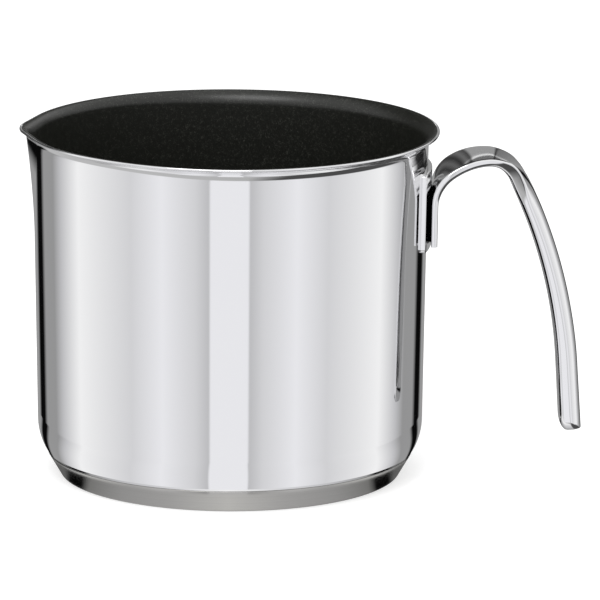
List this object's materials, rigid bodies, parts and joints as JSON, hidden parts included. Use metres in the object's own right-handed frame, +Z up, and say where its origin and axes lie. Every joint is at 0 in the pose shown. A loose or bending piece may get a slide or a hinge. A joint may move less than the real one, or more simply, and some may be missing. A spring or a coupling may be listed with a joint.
{
  "type": "milk pan",
  "caption": "Deep round pan with a small pouring spout, flared rim, dark non-stick lining, thick base and one handle that bends over and hangs down beside the wall.",
  "frame": {"origin": "middle of the flat underside, where the pan rests", "axes": "+Z up along the pan's axis, +X towards the handle, -X towards the pouring spout"},
  "size_m": [0.2031, 0.15, 0.1266],
  "materials": {
    "polished_steel": "polished",
    "nonstick_coating": "satin",
    "core_aluminium": "matte",
    "base_steel": "satin",
    "handle_steel": "polished"
  },
  "bodies": {
    "root": {"pan_body": "polished_steel", "nonstick_lining": "nonstick_coating", "base_core": "core_aluminium", "base_cup": "base_steel", "handle_plate": "handle_steel", "handle": "handle_steel"}
  },
  "joints": []
}
